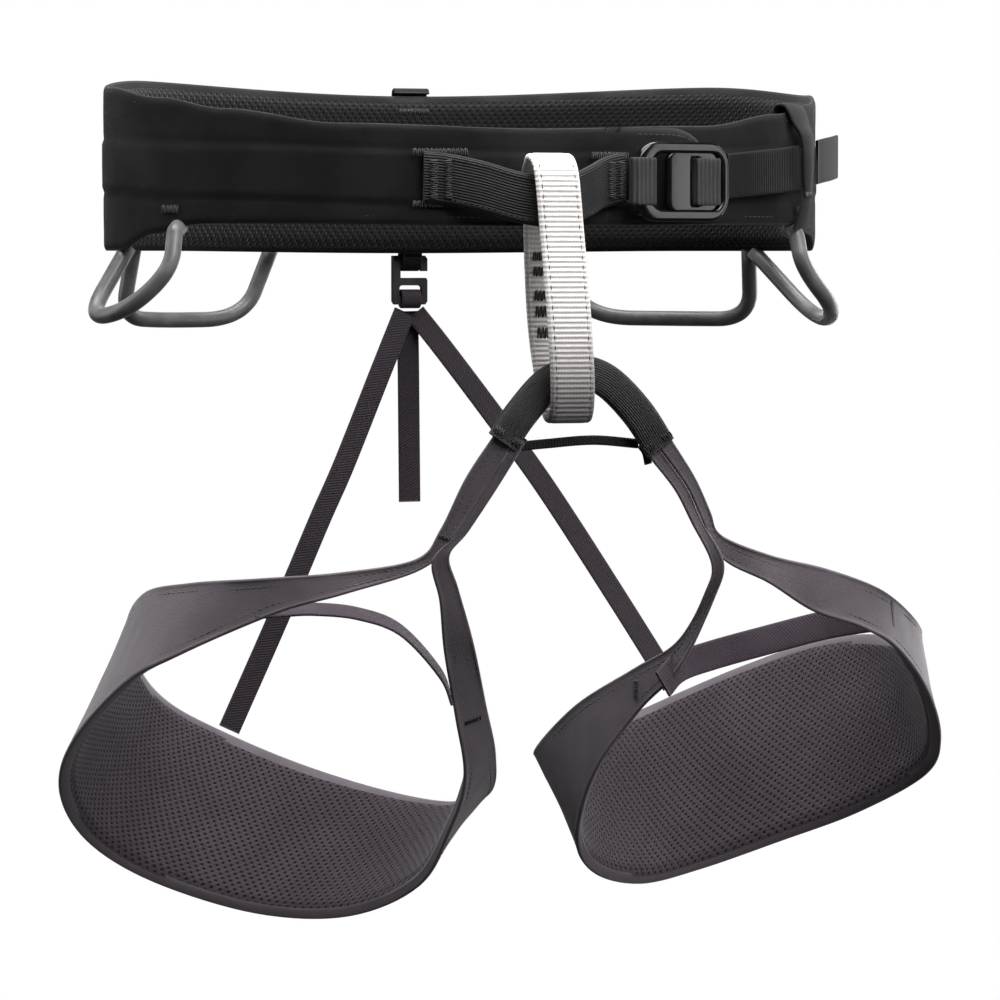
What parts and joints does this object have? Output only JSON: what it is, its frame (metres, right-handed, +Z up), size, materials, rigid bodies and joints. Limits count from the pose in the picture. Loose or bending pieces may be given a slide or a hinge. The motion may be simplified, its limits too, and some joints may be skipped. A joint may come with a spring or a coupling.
{
  "type": "climbing harness",
  "caption": "Rock climbing harness with a padded waist belt, speed buckle, belay loop, gear loops and two padded leg loops on elastic risers.",
  "frame": {"origin": "middle of the waist opening, half way up the side of the belt, where the body passes through", "axes": "+Z up along the wearer, the wearer faces -Y, +X towards the wearer's left side"},
  "size_m": [0.3779, 0.222, 0.3634],
  "materials": {
    "belt_fabric": "matte",
    "black_webbing": "matte",
    "belay_webbing": "satin",
    "leg_fabric": "matte",
    "mesh_fabric": "matte",
    "foam": "matte",
    "elastic": "matte",
    "gear_tube": "satin",
    "hook_plastic": "satin",
    "black_metal": "gloss"
  },
  "bodies": {
    "waist_belt": {"belt_bottom_binding": "belt_fabric", "belt_foam_core": "foam", "belt_load_webbing": "black_webbing", "belt_mesh_lining": "mesh_fabric", "belt_outer_shell": "belt_fabric", "belt_overlap_tab": "belt_fabric", "belt_top_binding": "belt_fabric", "buckle_anchor_webbing": "black_webbing", "buckle_frame": "black_metal", "left_riser_upper": "elastic", "link_knot_tail": "black_webbing", "lower_tie_in_link": "black_webbing", "lower_tie_in_sleeve": "black_webbing", "lower_tie_in_webbing": "black_webbing", "right_riser_upper": "elastic", "riser_hook": "hook_plastic", "riser_hook_anchor": "elastic", "riser_webbing_wrap": "elastic", "tie_in_bar_tacks": "black_webbing", "upper_tie_in_loop": "black_webbing", "waist_strap": "black_webbing"},
    "right_leg_loop": {"right_front_strip": "leg_fabric", "right_inner_strip": "leg_fabric", "right_leg_elastic": "elastic", "right_leg_foam": "foam", "right_leg_load_webbing": "black_webbing", "right_leg_lower_binding": "leg_fabric", "right_leg_mesh_lining": "mesh_fabric", "right_leg_shell": "leg_fabric", "right_leg_upper_binding": "leg_fabric", "right_riser_lower": "elastic"},
    "left_leg_loop": {"left_front_strip": "leg_fabric", "left_inner_strip": "leg_fabric", "left_leg_elastic": "elastic", "left_leg_foam": "foam", "left_leg_load_webbing": "black_webbing", "left_leg_lower_binding": "leg_fabric", "left_leg_mesh_lining": "mesh_fabric", "left_leg_shell": "leg_fabric", "left_leg_upper_binding": "leg_fabric", "left_riser_lower": "elastic"},
    "belay_loop": {"belay_loop_webbing": "belay_webbing", "belay_loop_bar_tacks": "black_webbing"},
    "gear_loop_front_right_side_body": {"gear_loop_front_right_side": "gear_tube", "gear_loop_core_front_right_side": "elastic"},
    "gear_loop_rear_right_side_body": {"gear_loop_rear_right_side": "gear_tube", "gear_loop_core_rear_right_side": "elastic"},
    "gear_loop_front_left_side_body": {"gear_loop_front_left_side": "gear_tube", "gear_loop_core_front_left_side": "elastic"},
    "gear_loop_rear_left_side_body": {"gear_loop_rear_left_side": "gear_tube", "gear_loop_core_rear_left_side": "elastic"},
    "buckle_slide_plate": {"buckle_slider": "black_metal", "buckle_strap_wrap": "black_webbing"},
    "keeper": {"strap_keeper": "black_webbing", "keeper_bar_tack": "black_webbing"},
    "strap_tail": {"waist_strap_tail": "black_webbing"},
    "hanging_tail": {"riser_tail": "elastic"},
    "haul_loop": {"haul_tab": "black_webbing", "haul_tab_tack": "black_webbing"}
  },
  "joints": [
    {"name": "right_leg_swing", "type": "hinge", "parent": "waist_belt", "child": "right_leg_loop", "pos_m": [-0.017, -0.104, -0.113], "axis": [1, 0, 0], "range_deg": [-15, 15], "stiffness_Nm_per_rad": 3},
    {"name": "left_leg_swing", "type": "hinge", "parent": "waist_belt", "child": "left_leg_loop", "pos_m": [0.051, -0.104, -0.115], "axis": [1, 0, 0], "range_deg": [-15, 15], "stiffness_Nm_per_rad": 3},
    {"name": "belay_loop_twist", "type": "hinge", "parent": "waist_belt", "child": "belay_loop", "pos_m": [0.006, -0.105, -0.05], "axis": [0.0815, 0, -0.9967], "range_deg": [-6, 6], "stiffness_Nm_per_rad": 0.05},
    {"name": "gear_loop_front_right_side_flex", "type": "hinge", "parent": "waist_belt", "child": "gear_loop_front_right_side_body", "pos_m": [-0.14675, -0.02875, -0.0315], "axis": [-0.3717, 0.8845, -0.282], "range_deg": [-15, 15], "stiffness_Nm_per_rad": 0.25},
    {"name": "gear_loop_rear_right_side_flex", "type": "hinge", "parent": "waist_belt", "child": "gear_loop_rear_right_side_body", "pos_m": [-0.097, 0.079, -0.0375], "axis": [0.8893, 0.4573, 0], "range_deg": [-15, 15], "stiffness_Nm_per_rad": 0.25},
    {"name": "gear_loop_front_left_side_flex", "type": "hinge", "parent": "waist_belt", "child": "gear_loop_front_left_side_body", "pos_m": [0.14025, -0.01075, -0.032], "axis": [0.1821, 0.9735, -0.1382], "range_deg": [-15, 15], "stiffness_Nm_per_rad": 0.25},
    {"name": "gear_loop_rear_left_side_flex", "type": "hinge", "parent": "waist_belt", "child": "gear_loop_rear_left_side_body", "pos_m": [0.1105, 0.065, -0.0375], "axis": [-0.7875, 0.6163, 0], "range_deg": [-15, 15], "stiffness_Nm_per_rad": 0.25},
    {"name": "buckle_tilt", "type": "hinge", "parent": "waist_belt", "child": "buckle_slide_plate", "pos_m": [0.05707, -0.09429, -0.0045], "axis": [0, 0, -1], "range_deg": [0, 16], "stiffness_Nm_per_rad": 0.05},
    {"name": "keeper_slide", "type": "slide", "parent": "waist_belt", "child": "keeper", "axis": [0.7279, 0.6857, 0], "range_m": [-0.003, 0.003]},
    {"name": "strap_tail_flap", "type": "hinge", "parent": "waist_belt", "child": "strap_tail", "pos_m": [0.14522, -0.0421, 0.005], "axis": [0, 0, -1], "range_deg": [0, 25], "stiffness_Nm_per_rad": 0.02},
    {"name": "riser_tail_swing", "type": "hinge", "parent": "waist_belt", "child": "hanging_tail", "pos_m": [0.0052, 0.1026, -0.0595], "axis": [1, 0, 0], "range_deg": [-3, 35]},
    {"name": "haul_tab_lift", "type": "hinge", "parent": "waist_belt", "child": "haul_loop", "pos_m": [0.0035, 0.094, 0.01], "axis": [-1, 0, 0], "range_deg": [0, 20], "stiffness_Nm_per_rad": 0.01}
  ]
}
